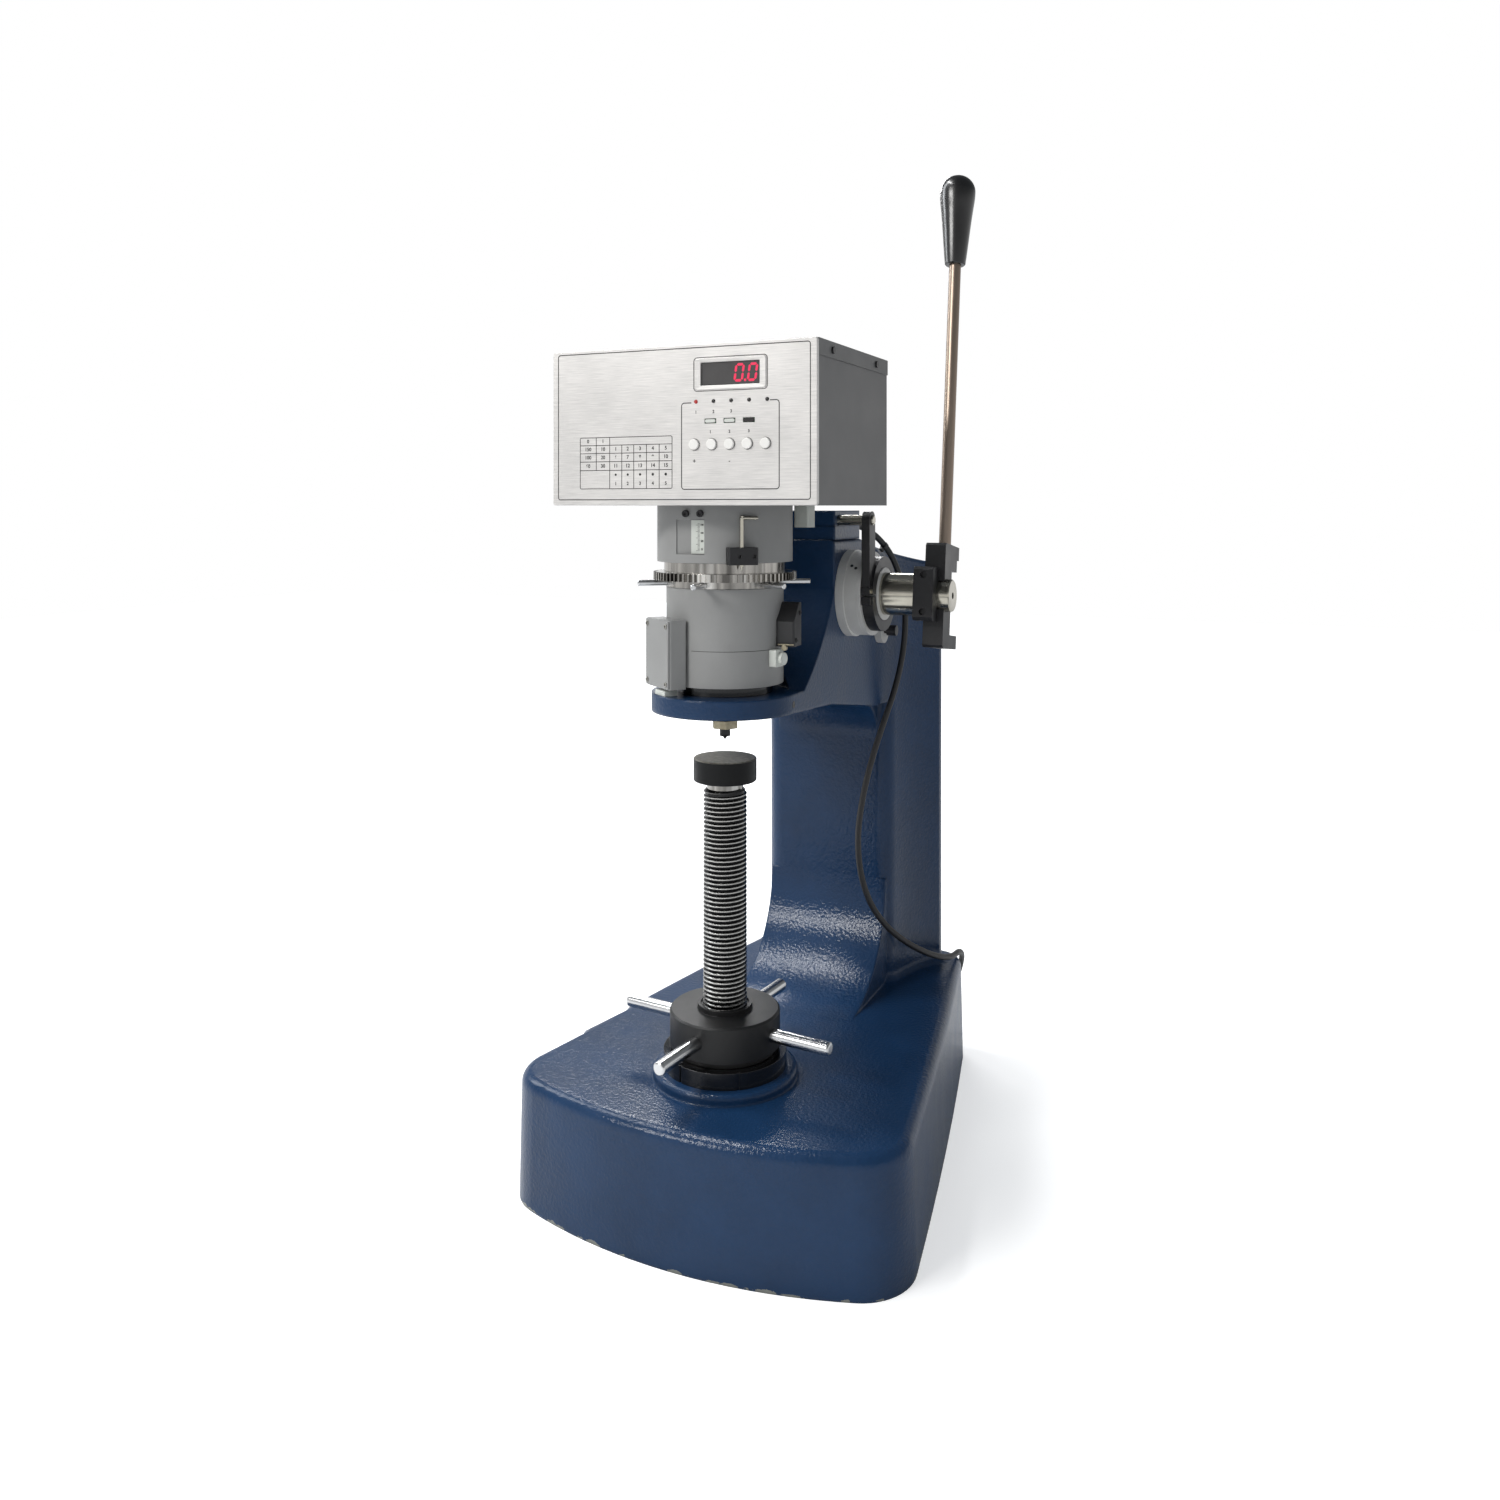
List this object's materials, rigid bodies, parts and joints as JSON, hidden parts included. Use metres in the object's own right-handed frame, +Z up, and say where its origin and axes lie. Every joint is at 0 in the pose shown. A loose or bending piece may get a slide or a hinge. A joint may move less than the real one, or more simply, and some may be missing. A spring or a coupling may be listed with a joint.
{
  "type": "hardness tester",
  "caption": "Bench hardness tester: blue casting with an elevating screw and capstan under a spring-loaded head, a side lever that applies the load, and a display box on top.",
  "frame": {"origin": "the test axis, on which the elevating screw, anvil and indenter lie, at floor level", "axes": "+Z up along the test axis, -Y the operator's side, +X the lever side"},
  "size_m": [0.3706, 0.6148, 0.9589],
  "materials": {
    "blue_enamel": "glossy stoved enamel on a casting",
    "grey_paint": "satin grey paint",
    "dark_grey_paint": "satin dark grey paint",
    "machine_steel": "ground and turned",
    "blued_steel": "black oxide, satin",
    "chrome_plate": "polished plating",
    "bronze": "turned bearing bronze",
    "black_plastic": "moulded, matt",
    "button_white": "moulded",
    "white_plastic": "moulded, matt",
    "red_window": "smoked red filter",
    "panel_print": "pale brushed and anodised",
    "board_green": "solder resist",
    "cord_black": "flexible jacket",
    "cable_grey": "moulded"
  },
  "bodies": {
    "frame_and_head": {"anchor_ring": "blued_steel", "arm_cap_block": "blued_steel", "base_column_casting": "blue_enamel", "base_cover_plate": "machine_steel", "base_plate_screws": "blued_steel", "bearing_cover": "blued_steel", "cable_gland": "cable_grey", "case_screws": "blued_steel", "connector_block": "white_plastic", "cord_coil": "cord_black", "core_tube": "blued_steel", "detent_block": "machine_steel", "displacement_sensor": "white_plastic", "display_board": "board_green", "display_case": "dark_grey_paint", "display_lid": "dark_grey_paint", "display_window": "red_window", "drum_cover": "grey_paint", "front_panel": "panel_print", "head_cap_screws": "blued_steel", "limit_switch": "black_plastic", "lower_housing": "grey_paint", "lower_housing_band": "grey_paint", "mains_plug": "black_plastic", "pivot_pins": "machine_steel", "plain_bushes": "bronze", "power_cord": "cord_black", "return_clock_spring": "machine_steel", "return_spring": "machine_steel", "scale_plate": "panel_print", "screw_guide_key": "machine_steel", "sensor_cover": "grey_paint", "side_stop_screw": "black_plastic", "spring_drum": "grey_paint", "thrust_bearing": "machine_steel", "transformer": "machine_steel", "upper_housing": "grey_paint"},
    "capstan": {"capstan_nut": "blued_steel", "capstan_bars": "chrome_plate"},
    "screw": {"elevating_screw": "machine_steel", "anvil": "blued_steel"},
    "spindle_unit": {"spindle": "machine_steel", "spindle_nut": "machine_steel", "indenter": "blued_steel", "pressure_sleeve": "machine_steel", "load_spring": "machine_steel"},
    "beam": {"load_beam": "machine_steel"},
    "lever": {"drive_shaft": "machine_steel", "hub_block": "blued_steel", "lever_bracket": "blued_steel", "lever_rod": "chrome_plate", "lever_knob": "black_plastic"},
    "ring": {"force_ring": "chrome_plate", "ring_pins": "chrome_plate"},
    "plunger": {"detent_plunger": "machine_steel"},
    "button_1": {"push_button_1": "button_white"},
    "button_2": {"push_button_2": "button_white"},
    "button_3": {"push_button_3": "button_white"},
    "button_4": {"push_button_4": "button_white"},
    "button_5": {"push_button_5": "button_white"}
  },
  "joints": [
    {"name": "lever_hinge", "type": "hinge", "parent": "frame_and_head", "child": "lever", "pos_m": [0.148, 0.148, 0.537], "axis": [1, 0, 0], "range_deg": [0, 80], "stiffness_Nm_per_rad": 2.2, "springref_deg": -34.38},
    {"name": "beam_hinge", "type": "hinge", "parent": "frame_and_head", "child": "beam", "pos_m": [0, 0.235, 0.5], "axis": [1, 0, 0], "range_deg": [0, 2.96]},
    {"name": "spindle_slide", "type": "slide", "parent": "frame_and_head", "child": "spindle_unit", "axis": [0, 0, -1], "range_m": [0, 0.01125], "deforming": ["return_spring"]},
    {"name": "capstan_turn", "type": "hinge", "parent": "frame_and_head", "child": "capstan", "pos_m": [0, 0, 0.157], "axis": [0, 0, 1], "range_deg": [-8784, 360]},
    {"name": "screw_slide", "type": "slide", "parent": "frame_and_head", "child": "screw", "axis": [0, 0, 1], "range_m": [-0.098, 0.0041]},
    {"name": "ring_turn", "type": "hinge", "parent": "frame_and_head", "child": "ring", "pos_m": [0, 0, 0.56], "axis": [0, 0, 1], "range_deg": [-90, 90]},
    {"name": "plunger_slide", "type": "slide", "parent": "frame_and_head", "child": "plunger", "axis": [0, 0, -1], "range_m": [0, 0.0065]},
    {"name": "button_1_press", "type": "slide", "parent": "frame_and_head", "child": "button_1", "axis": [0, 1, 0], "range_m": [0, 0.001], "stiffness_N_per_m": 400, "springref_m": -0.001},
    {"name": "button_2_press", "type": "slide", "parent": "frame_and_head", "child": "button_2", "axis": [0, 1, 0], "range_m": [0, 0.001], "stiffness_N_per_m": 400, "springref_m": -0.001},
    {"name": "button_3_press", "type": "slide", "parent": "frame_and_head", "child": "button_3", "axis": [0, 1, 0], "range_m": [0, 0.001], "stiffness_N_per_m": 400, "springref_m": -0.001},
    {"name": "button_4_press", "type": "slide", "parent": "frame_and_head", "child": "button_4", "axis": [0, 1, 0], "range_m": [0, 0.001], "stiffness_N_per_m": 400, "springref_m": -0.001},
    {"name": "button_5_press", "type": "slide", "parent": "frame_and_head", "child": "button_5", "axis": [0, 1, 0], "range_m": [0, 0.001], "stiffness_N_per_m": 400, "springref_m": -0.001}
  ],
  "couplings": [
    {"joint": "beam_hinge", "follows": "lever_hinge", "ratio": 0.036875},
    {"joint": "spindle_slide", "follows": "lever_hinge", "m_per_rad": 0.0080214},
    {"joint": "screw_slide", "follows": "capstan_turn", "m_per_rad": 0.00063662}
  ]
}
